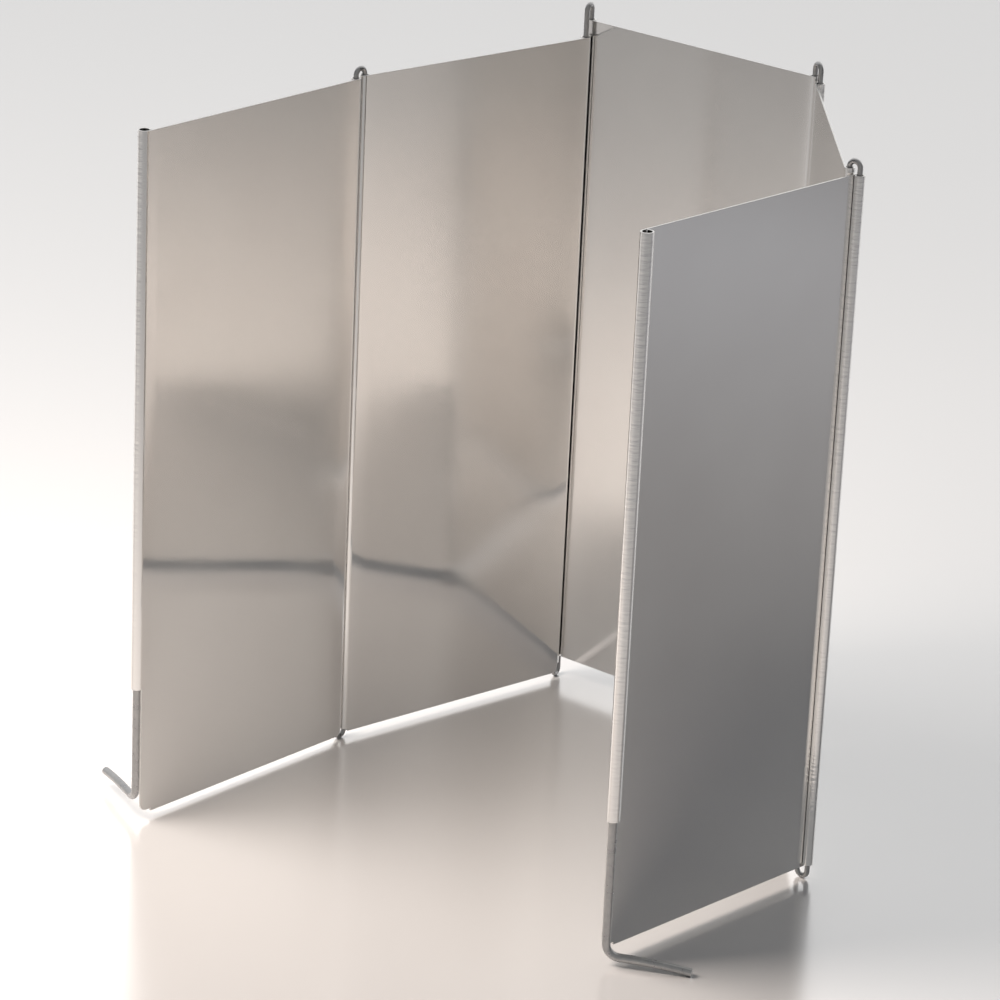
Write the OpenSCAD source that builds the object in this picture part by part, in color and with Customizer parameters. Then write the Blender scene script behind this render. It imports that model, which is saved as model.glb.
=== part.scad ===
// Folding windscreen for a camping stove.
// Five rectangular sheets stand on edge round the stove. Both upright edges of each sheet are
// rolled outward into a tube, called a curl here. Two wire pins, bent to a U, join the curls of
// neighbouring sheets, one pushed in from above and one from below. The two outermost curls are
// wider, and each holds a wire peg whose bent foot swings out to steady the screen.
// Sizes are in millimetres. Z is up, the ground is z = 0, and the origin lies on the ground at
// the middle of the stove's place. Headings are counted anticlockwise from +X, seen from above.

/* [Panels] */
// Height of each sheet
panel_height = 240; // [120:1:400]
// Distance between the lines where a sheet's flat runs into its two curls
panel_width = 96; // [60:0.5:160]
// Thickness of the sheet
sheet = 0.6; // [0.3:0.05:1]
// Radius of a flat's lower corners at the hinges, which is also how much its curls are trimmed
corner_radius = 1; // [0.6:0.1:8]
// Radius and trim of panel 2's lower corner at the rear hinge
rear_corner_radius = 3.5; // [0.6:0.1:8]

/* [Curls] */
// Space between the curls of neighbouring sheets
curl_gap = 0.5; // [0.2:0.05:2]
// Open seam between the end of a curl and the flat
curl_seam = 0.15; // [0.05:0.05:0.3]

/* [Free edges] */
// Height of the part of an outermost curl that is cut away above the peg's foot
cutaway_height = 46; // [15:0.5:80]
// Width of the step in the lower corner of an outermost edge
relief_width = 5; // [2:0.1:12]
// Height of that step
relief_height = 1; // [0.4:0.1:4]
// Radius of the corner above that step
relief_radius = 3; // [1:0.1:8]

/* [Pins] */
// Diameter of the wire of the U-shaped pins
pin_wire = 1.75; // [1:0.05:3]
// Running space round a pin's leg in its curl
pin_clearance = 0.275; // [0.1:0.025:0.6]
// Length of the straight legs of a pin
pin_leg = 45; // [25:1:55]

/* [Pegs] */
// Diameter of the wire of the pegs
peg_wire = 2.8; // [1.5:0.1:5]
// Running space round a peg's leg in its curl
peg_clearance = 0.2; // [0.1:0.05:0.6]
// Length of a peg's straight leg
peg_leg = 190; // [90:1:195]
// Reach of a peg's foot, from the axis of its leg to its tip
peg_reach = 28; // [15:0.5:60]
// Inside radius of the bend between leg and foot
peg_bend = 3; // [1:0.1:6]
// Height by which the foot falls from its bend to its tip
foot_fall = 1.6; // [0.4:0.1:5]

/* [Wire ends] */
// Chamfer on the cut ends of all wires
end_chamfer = 0.25; // [0.1:0.05:0.4]

/* [Stance] */
// Place of the rear curl of panel 2, to the right of the origin
rear_axis_x = 15; // [-60:1:60]
// Place of the rear curl of panel 2, behind the origin
rear_axis_y = 105; // [40:1:180]
// Heading of panel 1, from its free edge to its hinge
heading_1 = 48.5; // [40:0.5:80]
// Heading of panel 2, towards panel 3
heading_2 = 39.5; // [30:0.5:50]
// Heading of panel 3, towards panel 4
heading_3 = -39; // [-50:0.5:-30]
// Heading of panel 4, towards panel 5
heading_4 = -87.5; // [-100:0.5:-75]
// Heading of panel 5, from its hinge to its free edge
heading_5 = -135; // [-150:0.5:-120]
// Heading from one leg to the other of the pins between panels 1 and 2
pin_heading_1 = 48; // [30:1:60]
// Heading of the pins between panels 2 and 3
pin_heading_2 = 64; // [50:1:70]
// Heading of the pins between panels 3 and 4
pin_heading_3 = -66; // [-80:1:-45]
// Heading of the pins between panels 4 and 5
pin_heading_4 = -38; // [-60:1:-30]
// Height of the lower edge of panel 1 above the ground
lift_1 = 1.9; // [1:0.1:12]
// Height of the lower edge of panel 2
lift_2 = 2.5; // [1:0.1:12]
// Height of the lower edge of panel 3
lift_3 = 8; // [1:0.1:12]
// Height of the lower edge of panel 4
lift_4 = 6.4; // [1:0.1:12]
// Height of the lower edge of panel 5
lift_5 = 4.6; // [1:0.1:12]
// Length of the legs showing below the upper pin between panels 1 and 2
pin_rise_1 = 0.3; // [0.2:0.1:15]
// Length of the legs showing below the upper pin between panels 2 and 3
pin_rise_2 = 3.5; // [0.2:0.1:15]
// Length of the legs showing below the upper pin between panels 3 and 4
pin_rise_3 = 2.4; // [0.2:0.1:15]
// Length of the legs showing below the upper pin between panels 4 and 5
pin_rise_4 = 0.3; // [0.2:0.1:15]
// Heading of the foot on panel 1
foot_heading_1 = 116.5; // [60:0.5:225]
// Heading of the foot on panel 5
foot_heading_2 = -12; // [-120:0.5:35]
// Height of the foot's tip on panel 1 above the ground
foot_lift_1 = 4; // [0:0.1:12]
// Height of the foot's tip on panel 5 above the ground
foot_lift_2 = 0; // [0:0.1:12]

/* [Hidden] */
$fn = 64;
aluminium = [0.78, 0.77, 0.76];
plated_steel = [0.62, 0.62, 0.63];

// Outside radii of the curls, from the wires that they hold
hinge_radius = pin_wire / 2 + pin_clearance + sheet;
free_radius = peg_wire / 2 + peg_clearance + sheet;

// Distance between a pin's legs, and the height of its bend
leg_spacing = 2 * hinge_radius + curl_gap;
bow_height = leg_spacing / 2 + pin_wire / 2;

// The peg's bend on the wire's centre line, and the slack bow in which the foot falls to its tip
bend_radius = peg_bend + peg_wire / 2;
foot_run = peg_reach - bend_radius;
foot_radius = (foot_run * foot_run + foot_fall * foot_fall) / (2 * foot_fall);
foot_angle = asin(foot_run / foot_radius);
foot_z = foot_fall + peg_wire / 2 * cos(foot_angle);

// Height over which the curl is missing at the foot of a hinge edge and of a free edge
function trim_height(free, corner) = free ? cutaway_height : corner;
function curl_radius(free) = free ? free_radius : hinge_radius;

// Outer face of the flats, and a level in the open seam between it and the end of a curl
outer_face = sheet - hinge_radius;
seam_level = outer_face + curl_seam / 2;

// Amount by which a cutting shape passes what it cuts
overcut = 1;
cut_reach = 2 * max(hinge_radius, free_radius) + overcut;

function along(heading) = [cos(heading), sin(heading)];
function outward(heading) = [-sin(heading), cos(heading)];

// Axes of the hinge curls in plan, followed along the row both ways from panel 2's rear curl
axis_2b = [rear_axis_x, rear_axis_y];
axis_2a = axis_2b - panel_width * along(heading_2);
axis_1b = axis_2a - leg_spacing * along(pin_heading_1);
axis_1a = axis_1b - panel_width * along(heading_1);
axis_3a = axis_2b + leg_spacing * along(pin_heading_2);
axis_3b = axis_3a + panel_width * along(heading_3);
axis_4a = axis_3b + leg_spacing * along(pin_heading_3);
axis_4b = axis_4a + panel_width * along(heading_4);
axis_5a = axis_4b + leg_spacing * along(pin_heading_4);
axis_5b = axis_5a + panel_width * along(heading_5);

// Axes of the two pegs: the wider curls share the inner face of their sheet with the hinge curls
peg_axis_1 = axis_1a + (free_radius - hinge_radius) * outward(heading_1);
peg_axis_2 = axis_5b + (free_radius - hinge_radius) * outward(heading_5);

// Section of a far edge rolled into a tube about the origin. It leaves the flat at the bottom of
// the circle, goes round by the free side and ends at an open seam just above the flat.
module curl_section(radius) {
  seam_angle = asin((radius - sheet - curl_seam) / radius);
  wide = 2 * radius;
  difference() {
    circle(radius);
    circle(radius - sheet);
    polygon([[0, 0], -wide * along(seam_angle), [-wide, -wide], [0, -wide]]);
  }
}

// Curl of one edge in plan. All curls share the inner face of the flat.
module edge_section(free) {
  translate([0, curl_radius(free) - hinge_radius]) curl_section(curl_radius(free));
}

// Plan of a whole sheet: the first hinge axis is the origin, and the inner face looks to -y
module panel_section(free_a, free_b) {
  translate([0, -hinge_radius]) square([panel_width, sheet]);
  mirror([1, 0]) edge_section(free_a);
  translate([panel_width, 0]) edge_section(free_b);
}

// What a rounded corner takes away from the outline of a flat
module corner_cut(radius) {
  difference() {
    translate([-overcut, -overcut]) square(radius + overcut);
    translate([radius, radius]) circle(radius);
  }
}

// Lower corner of a flat, seen square on: a round at a hinge, a step and a round at a free edge
module lower_corner(free, corner) {
  if (free) {
    translate([-overcut, -overcut]) square([relief_width + overcut, relief_height + overcut]);
    translate([0, relief_height]) corner_cut(relief_radius);
  } else {
    corner_cut(corner);
  }
}

// What is cut away at the foot of a near edge: the curl up to its trim, and the flat's corner
module foot_cut(free, corner) {
  height = trim_height(free, corner) + overcut;
  translate([-cut_reach, -cut_reach, -overcut]) cube([cut_reach, 2 * cut_reach, height]);
  translate([-cut_reach, seam_level, -overcut]) cube([2 * cut_reach, cut_reach, height]);
  translate([0, cut_reach, 0])
    rotate([90, 0, 0])
      linear_extrude(2 * cut_reach) lower_corner(free, corner);
}

// One sheet with its curls, trimmed at the foot of both edges
module panel(free_a, free_b, corner_b) {
  difference() {
    linear_extrude(panel_height) panel_section(free_a, free_b);
    foot_cut(free_a, corner_radius);
    translate([panel_width, 0, 0]) mirror([1, 0, 0]) foot_cut(free_b, corner_b);
  }
}

// Panel set down at its first hinge axis
module stood_panel(
  axis, heading, lift, free_a = false, free_b = false, corner_b = corner_radius
) {
  translate([axis[0], axis[1], lift]) rotate([0, 0, heading]) panel(free_a, free_b, corner_b);
}

// Straight piece of wire along +z with a chamfered far end
module rod(length, wire) {
  cylinder(h = length - end_chamfer, d = wire);
  translate([0, 0, length - end_chamfer])
    cylinder(h = end_chamfer, d1 = wire, d2 = wire - 2 * end_chamfer);
}

// U-shaped pin, bow up, with the ends of its bow at z = 0 and its legs hanging down
module pin() {
  rotate([90, 0, 0])
    rotate_extrude(angle = 180)
      translate([leg_spacing / 2, 0]) circle(d = pin_wire);
  for (side = [-1, 1])
    translate([side * leg_spacing / 2, 0, 0]) mirror([0, 0, 1]) rod(pin_leg, pin_wire);
}

// Pin pushed in from above, with its legs showing over the higher of two panels
module upper_pin(axis_a, axis_b, heading, higher_lift, rise) {
  middle = (axis_a + axis_b) / 2;
  translate([middle[0], middle[1], higher_lift + panel_height + rise])
    rotate([0, 0, heading]) pin();
}

// Pin pushed in from below, standing on the ground on its bow
module lower_pin(axis_a, axis_b, heading) {
  middle = (axis_a + axis_b) / 2;
  translate([middle[0], middle[1], bow_height])
    rotate([0, 0, heading]) mirror([0, 0, 1]) pin();
}

// Peg with its leg on the z axis and its foot along +x, which leaves the bend at z = 0
module peg() {
  translate([0, 0, bend_radius]) rod(peg_leg, peg_wire);
  translate([bend_radius, 0, bend_radius])
    rotate([90, 0, 0])
      rotate([0, 0, 180])
        rotate_extrude(angle = 90)
          translate([bend_radius, 0]) circle(d = peg_wire);
  translate([bend_radius, 0, -foot_radius])
    mirror([1, 0, 0])
      rotate([90, 0, 0])
        rotate([0, 0, 90])
          rotate_extrude(angle = foot_angle)
            translate([foot_radius, 0]) circle(d = peg_wire);
}

// Peg hung in its curl, with the tip of its foot at the height of lift
module hung_peg(axis, heading, lift) {
  translate([axis[0], axis[1], lift + foot_z]) rotate([0, 0, heading]) peg();
}

module panel_1() color(aluminium) stood_panel(axis_1a, heading_1, lift_1, free_a = true);
module panel_2()
  color(aluminium) stood_panel(axis_2a, heading_2, lift_2, corner_b = rear_corner_radius);
module panel_3() color(aluminium) stood_panel(axis_3a, heading_3, lift_3);
module panel_4() color(aluminium) stood_panel(axis_4a, heading_4, lift_4);
module panel_5() color(aluminium) stood_panel(axis_5a, heading_5, lift_5, free_b = true);

module upper_pin_1()
  color(plated_steel) upper_pin(axis_1b, axis_2a, pin_heading_1, max(lift_1, lift_2), pin_rise_1);
module upper_pin_2()
  color(plated_steel) upper_pin(axis_2b, axis_3a, pin_heading_2, max(lift_2, lift_3), pin_rise_2);
module upper_pin_3()
  color(plated_steel) upper_pin(axis_3b, axis_4a, pin_heading_3, max(lift_3, lift_4), pin_rise_3);
module upper_pin_4()
  color(plated_steel) upper_pin(axis_4b, axis_5a, pin_heading_4, max(lift_4, lift_5), pin_rise_4);

module lower_pin_1() color(plated_steel) lower_pin(axis_1b, axis_2a, pin_heading_1);
module lower_pin_2() color(plated_steel) lower_pin(axis_2b, axis_3a, pin_heading_2);
module lower_pin_3() color(plated_steel) lower_pin(axis_3b, axis_4a, pin_heading_3);
module lower_pin_4() color(plated_steel) lower_pin(axis_4b, axis_5a, pin_heading_4);

module peg_1() color(plated_steel) hung_peg(peg_axis_1, foot_heading_1, foot_lift_1);
module peg_2() color(plated_steel) hung_peg(peg_axis_2, foot_heading_2, foot_lift_2);

panel_1();
panel_2();
panel_3();
panel_4();
panel_5();
upper_pin_1();
upper_pin_2();
upper_pin_3();
upper_pin_4();
lower_pin_1();
lower_pin_2();
lower_pin_3();
lower_pin_4();
peg_1();
peg_2();
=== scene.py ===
import math

import bmesh
import bpy
from mathutils import Matrix, Vector


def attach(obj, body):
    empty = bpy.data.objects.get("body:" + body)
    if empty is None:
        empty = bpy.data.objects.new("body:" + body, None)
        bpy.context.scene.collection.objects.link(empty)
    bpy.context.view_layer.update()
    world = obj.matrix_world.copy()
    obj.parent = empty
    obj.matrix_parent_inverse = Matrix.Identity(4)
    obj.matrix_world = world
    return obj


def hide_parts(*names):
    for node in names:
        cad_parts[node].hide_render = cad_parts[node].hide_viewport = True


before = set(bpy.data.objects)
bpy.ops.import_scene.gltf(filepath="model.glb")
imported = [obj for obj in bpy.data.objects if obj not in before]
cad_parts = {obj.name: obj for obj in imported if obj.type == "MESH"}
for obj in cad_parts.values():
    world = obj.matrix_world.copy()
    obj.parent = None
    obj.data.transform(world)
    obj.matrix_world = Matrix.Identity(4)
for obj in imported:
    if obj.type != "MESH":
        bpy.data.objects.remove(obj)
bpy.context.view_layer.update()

# ---------------------------------------------------------------------------------------------
# The view: a long lens stands in front of the open side of the screen and looks down on it.
# The camera is turned a little about its own line of sight, as a hand-held one is.
# ---------------------------------------------------------------------------------------------
camera_place = Vector((-0.0074, -1.34771, 0.63166))
looking_down = math.radians(21.183)
camera_roll = math.radians(2.626)

ahead = Vector((0, math.cos(looking_down), -math.sin(looking_down)))
across = Vector((1, 0, 0))
upward = across.cross(ahead)
level = math.cos(camera_roll) * across + math.sin(camera_roll) * upward
upright = math.cos(camera_roll) * upward - math.sin(camera_roll) * across

camera = bpy.data.objects.new("camera", bpy.data.cameras.new("camera"))
camera.data.sensor_width = 36
camera.data.lens = 155.054
camera.data.clip_start, camera.data.clip_end = 0.05, 30
turned = Matrix((level, upright, -ahead)).transposed().to_4x4()
camera.matrix_world = Matrix.Translation(camera_place) @ turned
bpy.context.scene.collection.objects.link(camera)
bpy.context.scene.camera = camera
bpy.context.scene.view_settings.view_transform = "Standard"

# ---------------------------------------------------------------------------------------------
# Panels: five sheets of bright-rolled aluminium. Each blank is sheared square, its lower corners
# are cut, and both upright edges are rolled outward round a rod into a tube, the curl, that is
# left open at a narrow seam. The outermost curls are wider and are cut away above the peg's foot.
# ---------------------------------------------------------------------------------------------
# Sizes in millimetres: the blank, the outside radii of the curls, the radii of the cut corners,
# the gap at a curl's seam, and the cutaway and the low step in the sheet at the peg's foot
panel_height, panel_width, sheet = 240, 96, 0.6
hinge_radius, free_radius = 1.75, 2.2
corner_radius, rear_corner_radius, curl_seam = 1, 3.5, 0.15
cutaway_height, relief_width, relief_height, relief_radius = 46, 5, 1, 3

# The side on which an end panel has its wide free curl: -1 at its start, 1 at its end
free_side = {1: -1, 5: 1}

# Headings of the panels and of the pins between them, anticlockwise from +X in plan, and the
# heights of the panels' lower edges, all as the screen was set up. Panel 2 ends at the rear hinge.
heading = {1: 48.5, 2: 39.5, 3: -39, 4: -87.5, 5: -135}
pin_heading = {1: 48, 2: 64, 3: -66, 4: -38}
lift = {1: 1.9, 2: 2.5, 3: 8, 4: 6.4, 5: 4.6}
leg_spacing = 4.0
rear_hinge = Vector((15, 105))
to_metres = Matrix.Scale(0.001, 4)


def along(degrees):
    """A step of one millimetre in plan towards a heading."""
    return Vector((math.cos(math.radians(degrees)), math.sin(math.radians(degrees))))


# Axes of the hinge curls at the start and end of each panel, followed along the row both ways
end = {2: rear_hinge}
start = {2: end[2] - panel_width * along(heading[2])}
end[1] = start[2] - leg_spacing * along(pin_heading[1])
start[1] = end[1] - panel_width * along(heading[1])
for n in (3, 4, 5):
    start[n] = end[n - 1] + leg_spacing * along(pin_heading[n - 1])
    end[n] = start[n] + panel_width * along(heading[n])


def linear(hex_colour):
    """An sRGB hex colour as the linear one that a shader's socket takes."""
    parts = [int(hex_colour[i:i + 2], 16) / 255 for i in (1, 3, 5)]
    return [c / 12.92 if c <= 0.04045 else ((c + 0.055) / 1.055) ** 2.4 for c in parts] + [1]


def add(tree, kind, links=None, **settings):
    """Adds a node. Its links name or number a socket and give what goes in, a value or a socket.
    A colour Mix takes its colours at 6 and 7 and gives one at 2. A Map Range has from at 1 and 2
    and to at 3 and 4."""
    made = tree.nodes.new("ShaderNode" + kind)
    for setting, value in settings.items():
        setattr(made, setting, value)
    for socket, value in (links or {}).items():
        if isinstance(value, bpy.types.NodeSocket):
            tree.links.new(value, made.inputs[socket])
        else:
            made.inputs[socket].default_value = value
    return made


def new_finish(name):
    """A named material with an empty tree, and the output that its shader goes to."""
    made = bpy.data.materials.new(name)
    made.use_nodes = True
    made.node_tree.nodes.clear()
    return made, made.node_tree, add(made.node_tree, "OutputMaterial")


def aluminium_sheet(name, rolled):
    """Bright-rolled aluminium: almost a mirror up and down the sheet, along which the mill rolled
    it, and blurred across by the fine roll lines. The sheet is not quite flat, so reflections bend
    a little. On a curl the rolling tool leaves short ripples across the tube."""
    finish, tree, output = new_finish(name)
    place = add(tree, "TexCoord").outputs["Object"]
    # Clouding of the mill finish and of wiping, in patches about 35 mm across
    cloud = add(tree, "TexNoise", {"Vector": place, "Scale": 1 / 0.035, "Detail": 3}).outputs["Fac"]
    tint = add(tree, "Mix", {0: cloud, 6: linear("#ECEAE8"), 7: linear("#F3F2F0")},
               data_type="RGBA")
    gloss = add(tree, "MapRange", {"Value": cloud, 1: 0.3, 2: 0.7, 3: 0.08, 4: 0.11})
    # The sheet's own slow waves, about 70 mm long and a tenth of a millimetre deep
    wave = add(tree, "TexNoise", {"Vector": place, "Scale": 1 / 0.07, "Detail": 0})
    bent = add(tree, "Bump", {"Height": wave.outputs["Fac"], "Strength": 1, "Distance": 0.0003})
    # Roll lines: a few hundredths of a millimetre in truth, drawn 0.8 mm wide here to show
    stretched = add(tree, "Mapping", {"Vector": place, "Scale": (1 / 0.0008, 1 / 0.0008, 1 / 0.09)})
    line = add(tree, "TexNoise", {"Vector": stretched.outputs[0], "Scale": 1, "Detail": 2})
    lined = add(tree, "Bump", {"Height": line.outputs["Fac"], "Strength": 1, "Distance": 0.000001,
                               "Normal": bent.outputs[0]})
    surface = lined
    if rolled:
        # Ripples of the rolling tool, about 1.1 mm apart along the tube and uneven in depth
        short = add(tree, "Mapping", {"Vector": place, "Scale": (1 / 0.004, 1 / 0.004, 1 / 0.0011)})
        ripple = add(tree, "TexNoise", {"Vector": short.outputs[0], "Scale": 1, "Detail": 1})
        surface = add(tree, "Bump", {"Height": ripple.outputs["Fac"], "Strength": 1,
                                     "Distance": 0.00012, "Normal": lined.outputs[0]})
    tangent = add(tree, "Tangent", direction_type="UV_MAP", uv_map="rolled")
    shader = add(tree, "BsdfPrincipled", {
        "Base Color": tint.outputs[2], "Roughness": gloss.outputs[0], "Metallic": 1,
        "Anisotropic": 0.8, "Tangent": tangent.outputs[0], "Normal": surface.outputs[0]})
    tree.links.new(shader.outputs[0], output.inputs[0])
    return finish


flat_finish = aluminium_sheet("bright_rolled_aluminium", rolled=False)
curl_finish = aluminium_sheet("rolled_curl_aluminium", rolled=True)

# Sheared edge: bare metal torn by the blade, duller than the faces, with fine tears
edge_finish, tree, output = new_finish("sheared_aluminium_edge")
place = add(tree, "TexCoord").outputs["Object"]
tear = add(tree, "TexNoise", {"Vector": place, "Scale": 1 / 0.0006, "Detail": 2}).outputs["Fac"]
tint = add(tree, "Mix", {0: tear, 6: linear("#D8D6D3"), 7: linear("#F0EEEB")}, data_type="RGBA")
torn = add(tree, "Bump", {"Height": tear, "Strength": 1, "Distance": 0.00005})
shader = add(tree, "BsdfPrincipled", {"Base Color": tint.outputs[2], "Metallic": 1,
                                      "Roughness": 0.38, "Normal": torn.outputs[0]})
tree.links.new(shader.outputs[0], output.inputs[0])

# How finely a blank is divided, its corners are rounded and its edges are rolled
blank_columns, blank_rows, corner_steps, curl_steps = 16, 40, 6, 32

# How near, in millimetres, a point counts as on a cut, on an edge, on the rim that is rolled, and
# as one with its neighbour
on_cut, on_edge, on_rim, as_one = 0.001, 0.01, 0.05, 0.03

# The angle round a curl, in degrees, at which the ripples begin. The distance across the unrolled
# sheet for a radian of curl, about its radius. How far the sheared edges are broken.
first_ripple, curl_run, edge_break = 60, 2, 0.1


def rolled_panel(name, n):
    """Cuts a blank, rolls its upright edges round the curls' axes and stands it in its place."""
    bm = bmesh.new()
    bmesh.ops.create_grid(bm, x_segments=blank_columns, y_segments=blank_rows, size=0.5)
    lay = Matrix.Translation((panel_width / 2, -hinge_radius, panel_height / 2))
    lay = lay @ Matrix.Rotation(math.pi / 2, 4, "X")
    lay = lay @ Matrix.Diagonal((panel_width, panel_height, 1, 1))
    bmesh.ops.transform(bm, matrix=lay, verts=bm.verts)
    curls = set()
    for edge, side in ((0, -1), (panel_width, 1)):
        free_here = side == free_side.get(n)
        # The lower corner of panel 2 at the rear hinge is cut rounder than the others
        corner_round = rear_corner_radius if (n, side) == (2, 1) else corner_radius
        corner_round = relief_radius if free_here else corner_round
        trim = cutaway_height if free_here else corner_round
        foot = relief_height if free_here else 0
        cuts = [((0, 0, trim), (0, 0, 1))]
        if free_here:
            cuts.append(((0, 0, relief_height), (0, 0, 1)))
            cuts.append(((edge - side * relief_width, 0, 0), (1, 0, 0)))
        for where, across_cut in cuts:
            bmesh.ops.bisect_plane(bm, geom=bm.verts[:] + bm.edges[:] + bm.faces[:], dist=on_cut,
                                   plane_co=where, plane_no=across_cut)
        if free_here:
            step = [f for f in bm.faces if abs(f.calc_center_median().x - edge) < relief_width
                    and f.calc_center_median().z < relief_height]
            bmesh.ops.delete(bm, geom=step, context="FACES")
        corner = [v for v in bm.verts
                  if abs(v.co.x - edge) < on_edge and abs(v.co.z - foot) < on_edge]
        bmesh.ops.bevel(bm, geom=corner, affect="VERTICES", offset=corner_round - on_edge,
                        segments=corner_steps, profile=0.5, material=-1)
        bmesh.ops.remove_doubles(bm, verts=bm.verts, dist=as_one)
        radius = free_radius if free_here else hinge_radius
        seam = math.asin((radius - sheet - curl_seam) / radius)
        rim = [e for e in bm.edges if e.is_boundary
               and all(abs(v.co.x - edge) < on_edge and v.co.z > trim - on_rim for v in e.verts)]
        unrolled = set(bm.faces)
        bmesh.ops.spin(bm, geom=rim, cent=(edge, radius - hinge_radius, 0), axis=(0, 0, 1),
                       angle=side * (1.5 * math.pi + seam), steps=curl_steps)
        for face in set(bm.faces) - unrolled:
            curls.add(face)
            middle = face.calc_center_median() - Vector((edge, radius - hinge_radius, 0))
            turned_by = math.degrees(math.atan2(side * middle.x, -middle.y)) % 360
            face.material_index = 1 if turned_by > first_ripple else 0
    bmesh.ops.recalc_face_normals(bm, faces=bm.faces)
    if max(bm.faces, key=lambda f: f.calc_area()).normal.y > 0:
        bmesh.ops.reverse_faces(bm, faces=bm.faces)
    # Distance across the unrolled sheet and height, which tell the finish where across is
    rolled = bm.loops.layers.uv.new("rolled")
    for face in bm.faces:
        middle = face.calc_center_median()
        edge = 0 if middle.x < panel_width / 2 else panel_width
        for loop in face.loops:
            u = loop.vert.co.x
            if face in curls:
                turn = math.atan2(middle.y, middle.x - edge)
                here = math.atan2(loop.vert.co.y, loop.vert.co.x - edge)
                u = edge + curl_run * math.remainder(here - turn, math.tau) + curl_run * turn
            loop[rolled].uv = (u / panel_height, loop.vert.co.z / panel_height)
    stand = Matrix.Translation(start[n].to_3d() / 1000 + Vector((0, 0, lift[n] / 1000)))
    stand = stand @ Matrix.Rotation(math.radians(heading[n]), 4, "Z") @ to_metres
    bmesh.ops.transform(bm, matrix=stand, verts=bm.verts)
    for face in bm.faces:
        face.smooth = True
    mesh = bpy.data.meshes.new(name + "_sheet")
    bm.to_mesh(mesh)
    bm.free()
    # The flat and the curls use the first two, and the sheet's thickness there the other two
    for finish in (flat_finish, curl_finish, edge_finish, edge_finish):
        mesh.materials.append(finish)
    made = bpy.data.objects.new(name + "_sheet", mesh)
    bpy.context.scene.collection.objects.link(made)
    wall = made.modifiers.new("thickness", "SOLIDIFY")
    wall.thickness, wall.offset, wall.use_even_offset = sheet / 1000, -1, True
    wall.material_offset_rim = 2
    broken = made.modifiers.new("broken edges", "BEVEL")
    broken.width, broken.segments, broken.profile = edge_break / 1000, 2, 0.5
    broken.limit_method, broken.angle_limit = "ANGLE", math.radians(50)
    broken.harden_normals = True
    return made


for n in heading:
    name = f"panel_{n}"
    panel = rolled_panel(name, n)
    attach(panel, name)
    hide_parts(name)

# ---------------------------------------------------------------------------------------------
# U pins: two in each hinge, one from above and one from below. Each is a piece of hard-drawn
# steel wire, zinc plated, cropped square and bent round a former, with both legs loose in curls.
# ---------------------------------------------------------------------------------------------
# Sizes in millimetres, the sides of the wire's outline, the steps of a pin's bow, and how near
# points of a wire count as one
pin_wire, pin_leg, end_chamfer = 1.75, 45, 0.25
bow_radius = leg_spacing / 2
wire_sides, bow_steps, as_one_point = 24, 18, 0.0005

# Length of the legs that shows between the higher of two panels and the bow of their upper pin
pin_rise = {1: 0.3, 2: 3.5, 3: 2.4, 4: 0.3}

# Zinc-plated steel wire: grey and satin, with dull patches in the plating. The drawing die leaves
# lines along the wire, finer than a tenth of a millimetre and drawn 0.35 mm wide here to show.
wire_finish, tree, output = new_finish("zinc_plated_steel_wire")
wire_place = add(tree, "Attribute", attribute_name="drawn").outputs["Vector"]
lengthwise = add(tree, "Mapping", {"Vector": wire_place, "Scale": (1 / 0.35, 1 / 0.35, 1 / 12)})
die_line = add(tree, "TexNoise", {"Vector": lengthwise.outputs[0], "Scale": 1, "Detail": 2})
patch = add(tree, "TexNoise", {"Vector": wire_place, "Scale": 1 / 2.5, "Detail": 4}).outputs["Fac"]
tint = add(tree, "Mix", {0: patch, 6: linear("#8C8C8E"), 7: linear("#C2C1BF")}, data_type="RGBA")
gloss = add(tree, "MapRange", {"Value": patch, 1: 0.3, 2: 0.7, 3: 0.24, 4: 0.42})
pitted = add(tree, "Bump", {"Height": patch, "Strength": 1, "Distance": 0.00008})
lined = add(tree, "Bump", {"Height": die_line.outputs["Fac"], "Strength": 1, "Distance": 0.00004,
                           "Normal": pitted.outputs[0]})
shader = add(tree, "BsdfPrincipled", {"Base Color": tint.outputs[2], "Metallic": 1,
                                      "Roughness": gloss.outputs[0], "Normal": lined.outputs[0]})
tree.links.new(shader.outputs[0], output.inputs[0])


def start_wire(thickness):
    """A ring of the wire's outline round the z axis. The layer keeps each point's place on the
    drawn wire, in millimetres, for the finish: across, across and along."""
    bm = bmesh.new()
    drawn = bm.verts.layers.float_vector.new("drawn")
    ring = bmesh.ops.create_circle(bm, segments=wire_sides, radius=thickness / 2)["verts"]
    for v in ring:
        v[drawn] = v.co
    return bm, drawn, list(dict.fromkeys(e for v in ring for e in v.link_edges))


def draw_on(bm, drawn, ring, step, length):
    """Pulls the ring one step further along the wire, and returns the new ring."""
    made = bmesh.ops.extrude_edge_only(bm, edges=ring)["geom"]
    points = [g for g in made if isinstance(g, bmesh.types.BMVert)]
    bmesh.ops.transform(bm, matrix=step, verts=points)
    for v in points:
        v[drawn] = v[drawn] + Vector((0, 0, length))
    return [g for g in made if isinstance(g, bmesh.types.BMEdge)
            and all(v in points for v in g.verts)]


def bend_on(bm, drawn, ring, centre, radius, angle, steps):
    """Bends the wire on about a level axis through a centre, and returns the new ring."""
    turn = Matrix.Rotation(angle / steps, 4, "Y")
    turn = Matrix.Translation(centre) @ turn @ Matrix.Translation(-centre)
    for _ in range(steps):
        ring = draw_on(bm, drawn, ring, turn, radius * abs(angle) / steps)
    return ring


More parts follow.
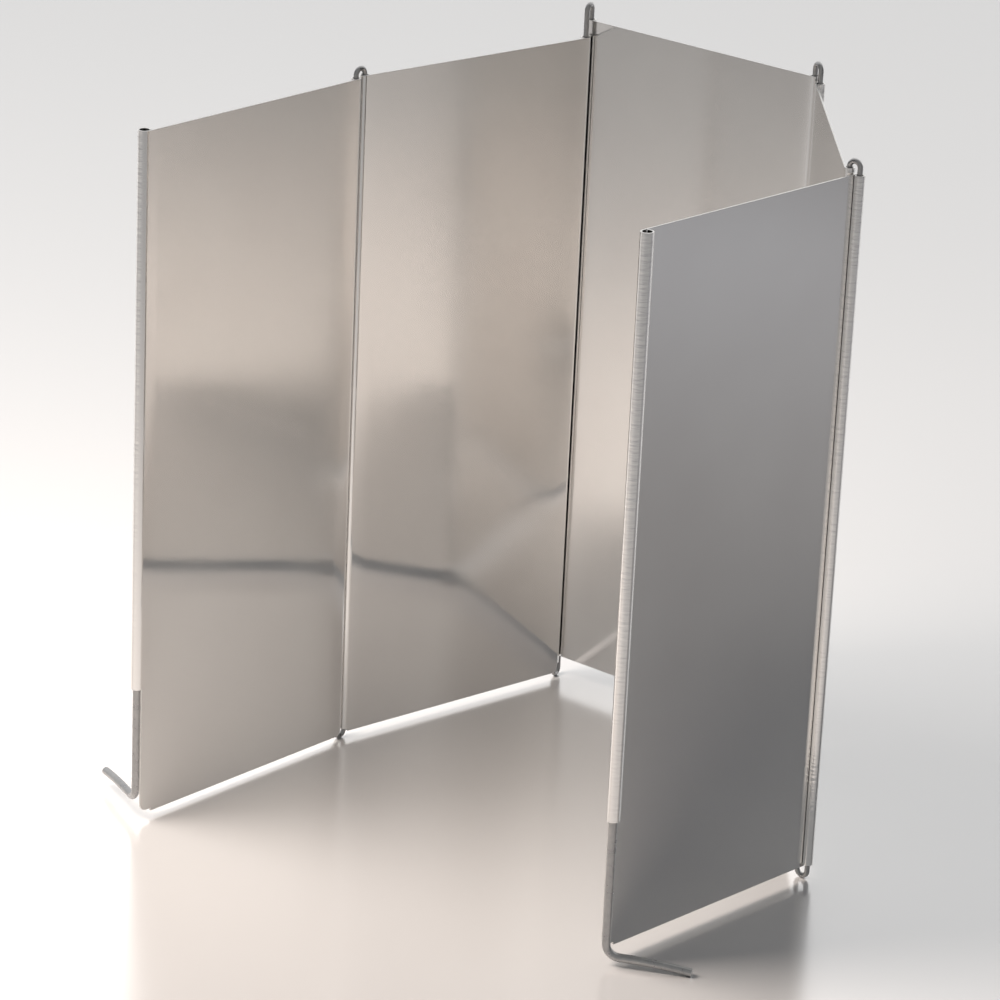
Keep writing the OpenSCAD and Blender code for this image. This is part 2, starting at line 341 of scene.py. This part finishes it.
def crop(bm, drawn, ring, outward, thickness):
    """Closes the wire's end: a small broken edge and a flat cropped face."""
    points = list(dict.fromkeys(v for e in ring for v in e.verts))
    middle = sum((v.co for v in points), Vector()) / len(points)
    narrow = Matrix.Translation(middle + Vector(outward) * end_chamfer)
    narrow = narrow @ Matrix.Scale(1 - 2 * end_chamfer / thickness, 4) @ Matrix.Translation(-middle)
    last = draw_on(bm, drawn, ring, narrow, end_chamfer)
    bmesh.ops.contextual_create(bm, geom=last)


def finish_wire(bm, name, place):
    """Puts the bent wire in its place, gives it its finish and lets it stand for the CAD node."""
    bmesh.ops.remove_doubles(bm, verts=bm.verts, dist=as_one_point)
    bmesh.ops.recalc_face_normals(bm, faces=bm.faces)
    bmesh.ops.transform(bm, matrix=place @ to_metres, verts=bm.verts)
    for face in bm.faces:
        face.smooth = len(face.verts) == 4
    mesh = bpy.data.meshes.new(name + "_wire")
    bm.to_mesh(mesh)
    bm.free()
    mesh.set_sharp_from_angle(angle=math.radians(35))
    mesh.materials.append(wire_finish)
    made = bpy.data.objects.new(name + "_wire", mesh)
    bpy.context.scene.collection.objects.link(made)
    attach(made, name)
    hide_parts(name)


for n in pin_heading:
    middle = (end[n] + start[n + 1]).to_3d() / 2 / 1000
    upper_bow = max(lift[n], lift[n + 1]) + panel_height + pin_rise[n]
    lower_bow = bow_radius + pin_wire / 2
    # A lower pin is an upper one turned upside down
    for name, flip, height in (
        (f"upper_pin_{n}", 1, upper_bow),
        (f"lower_pin_{n}", -1, lower_bow),
    ):
        bm, drawn, first = start_wire(pin_wire)
        bmesh.ops.translate(bm, vec=(bow_radius, 0, 0), verts=bm.verts)
        last = bend_on(bm, drawn, first, Vector(), bow_radius, -math.pi, bow_steps)
        down = Matrix.Translation((0, 0, end_chamfer - pin_leg))
        for top in (first, last):
            leg = draw_on(bm, drawn, top, down, pin_leg)
            crop(bm, drawn, leg, (0, 0, -1), pin_wire)
        place = Matrix.Translation(middle + Vector((0, 0, height / 1000)))
        place = place @ Matrix.Rotation(math.radians(pin_heading[n]), 4, "Z")
        finish_wire(bm, name, place @ Matrix.Diagonal((1, 1, flip, 1)))

# ---------------------------------------------------------------------------------------------
# Pegs: thicker plated wire, one in the wide curl at each end of the row. The leg hangs in the
# curl and is bent square at the bottom into a foot, which falls a little to its cropped tip.
# ---------------------------------------------------------------------------------------------
# Sizes in millimetres, and the steps of the bend and of the slightly bowed foot
peg_wire, peg_leg, peg_reach, peg_bend, foot_fall = 2.8, 190, 28, 3, 1.6
bend_steps, foot_steps = 12, 10
bend_radius = peg_bend + peg_wire / 2
foot_run = peg_reach - bend_radius
foot_radius = (foot_run ** 2 + foot_fall ** 2) / (2 * foot_fall)
foot_angle = math.asin(foot_run / foot_radius)
foot_height = foot_fall + peg_wire / 2 * math.cos(foot_angle)

# Axis of each leg in plan, heading of its foot and height of the tip above the ground. The wide
# curl's axis stands further from the sheet than a hinge curl's.
further_out = free_radius - hinge_radius
pegs = {
    "peg_1": (start[1] + further_out * along(heading[1] + 90), 116.5, 4),
    "peg_2": (end[5] + further_out * along(heading[5] + 90), -12, 0),
}

for name, (axis, foot_heading, tip) in pegs.items():
    bm, drawn, ring = start_wire(peg_wire)
    bmesh.ops.translate(bm, vec=(0, 0, bend_radius), verts=bm.verts)
    leg = draw_on(bm, drawn, ring, Matrix.Translation((0, 0, peg_leg - end_chamfer)), peg_leg)
    crop(bm, drawn, leg, (0, 0, 1), peg_wire)
    bend = Vector((bend_radius, 0, bend_radius))
    ring = bend_on(bm, drawn, ring, bend, bend_radius, -math.pi / 2, bend_steps)
    bow = Vector((bend_radius, 0, -foot_radius))
    ring = bend_on(bm, drawn, ring, bow, foot_radius, foot_angle, foot_steps)
    bmesh.ops.contextual_create(bm, geom=ring)
    place = Matrix.Translation(axis.to_3d() / 1000 + Vector((0, 0, (tip + foot_height) / 1000)))
    finish_wire(bm, name, place @ Matrix.Rotation(math.radians(foot_heading), 4, "Z"))

# ---------------------------------------------------------------------------------------------
# Studio: a plain pale table with a polished top, and a sweep of white behind it. A large soft box
# on the left throws the screen's shadow to the right, a small one near the open front fills the
# inside, and a weak one lights the table far on the right.
# ---------------------------------------------------------------------------------------------
table_reach = 6
bm = bmesh.new()
bmesh.ops.create_grid(bm, x_segments=1, y_segments=1, size=table_reach)
table = bpy.data.objects.new("table", bpy.data.meshes.new("table"))
bm.to_mesh(table.data)
bm.free()
bpy.context.scene.collection.objects.link(table)

# Polished pale table: half of what it shows is its own pale top and half is what it mirrors
table_finish, tree, output = new_finish("polished_pale_table")
shader = add(tree, "BsdfPrincipled", {"Base Color": linear("#FBFAF9"), "Metallic": 0.5,
                                      "Roughness": 0.2})
tree.links.new(shader.outputs[0], output.inputs[0])
table.data.materials.append(table_finish)

# Brightness of the white sweep behind, of a grey wall in front and of the dim sides, the same for
# the camera, in metal and through glass, and of the low even fill that everything else gets
white_sweep, front_wall, dim_sides, even_fill = 1, 0.4, 0.12, 0.08

# Where the middles of the sweep and of the wall are
to_sweep, to_front = (0, 0.92, 0.4), (0, -1, 0)

studio = bpy.data.worlds.new("studio")
studio.use_nodes = True
tree = studio.node_tree
tree.nodes.clear()
ray = add(tree, "LightPath").outputs
direction = add(tree, "TexCoord").outputs["Generated"]
behind = add(tree, "VectorMath", {0: direction, 1: to_sweep}, operation="DOT_PRODUCT")
sweep = add(tree, "MapRange", {0: behind.outputs["Value"], 1: 0.15, 2: 0.65,
                               3: dim_sides, 4: white_sweep}, interpolation_type="SMOOTHSTEP")
before = add(tree, "VectorMath", {0: direction, 1: to_front}, operation="DOT_PRODUCT")
front = add(tree, "MapRange", {0: before.outputs["Value"], 1: 0.1, 2: 0.6,
                               3: dim_sides, 4: front_wall}, interpolation_type="SMOOTHSTEP")
walls = add(tree, "Math", {0: sweep.outputs[0], 1: front.outputs[0]}, operation="MAXIMUM")
shown = add(tree, "Math", {0: ray["Is Camera Ray"], 1: ray["Is Glossy Ray"]}, operation="MAXIMUM")
shown = add(tree, "Math", {0: shown.outputs[0], 1: ray["Is Transmission Ray"]}, operation="MAXIMUM")
fill = add(tree, "Background", {"Color": linear("#E4EBFF"), "Strength": even_fill})
room = add(tree, "Background", {"Color": linear("#FFFFFF"), "Strength": walls.outputs[0]})
lit = add(tree, "MixShader", {0: shown.outputs[0], 1: fill.outputs[0], 2: room.outputs[0]})
add(tree, "OutputWorld", {0: lit.outputs[0]})
bpy.context.scene.world = studio

# Soft boxes, which aren't seen or mirrored: name, place, what it points at, width, height, power in
# watts, colour
for name, place, aim, width, height, power, colour in (
    ("key_soft_box", (-0.9, 0.05, 0.9), (0, 0, 0), 0.8, 0.8, 12, "#FFFAF6"),
    ("near_soft_box", (-0.23, -0.08, 0.4), (0, 0, 0), 0.25, 0.25, 2.5, "#FFEFE3"),
    ("right_soft_box", (0.8, -0.1, 0.35), (0.8, -0.1, 0), 0.15, 0.15, 0.7, "#F4F6FF"),
):
    lamp = bpy.data.lights.new(name, "AREA")
    lamp.shape, lamp.size, lamp.size_y = "RECTANGLE", width, height
    lamp.energy, lamp.color = power, linear(colour)[:3]
    box = bpy.data.objects.new(name, lamp)
    box.visible_camera = box.visible_glossy = False
    box.location = place
    box.rotation_euler = (Vector(aim) - Vector(place)).to_track_quat("-Z", "Y").to_euler()
    bpy.context.scene.collection.objects.link(box)
